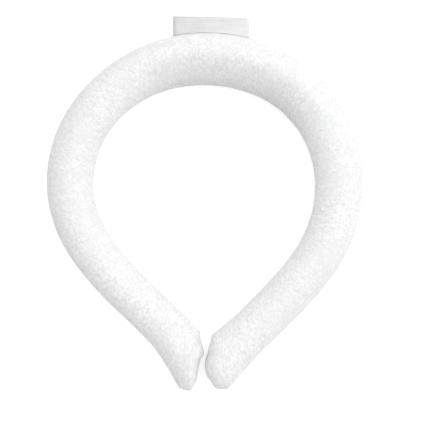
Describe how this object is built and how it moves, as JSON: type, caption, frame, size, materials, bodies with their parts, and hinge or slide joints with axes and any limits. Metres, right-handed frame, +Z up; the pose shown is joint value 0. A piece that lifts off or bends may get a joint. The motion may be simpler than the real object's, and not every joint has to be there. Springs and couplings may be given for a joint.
{
  "type": "cooling neck ring",
  "caption": "Teardrop-shaped cooling neck ring: a soft milky tube with a frozen filling, slanted plugged ends that nearly meet at the front and a flat sealed tab at the nape.",
  "frame": {"origin": "on the floor under the middle of the ring's box, its tab included", "axes": "+Z up out of the ring's plane, +Y towards the nape and its tab, -Y towards the front where the ends meet, +X to the right as seen from above"},
  "size_m": [0.1612, 0.191, 0.0255],
  "materials": {
    "skin": "soft milky plastic skin, satin, with the frosty filling showing through",
    "filling": "frozen waxy filling, frosty white",
    "end_cap": "soft milky plastic, satin",
    "tab": "two layers of soft plastic pressed together, pale grey, satin"
  },
  "bodies": {
    "root": {"tube_skin": "skin", "cooling_filling": "filling", "end_cap_left": "end_cap", "end_cap_right": "end_cap", "back_tab": "tab"}
  },
  "joints": []
}
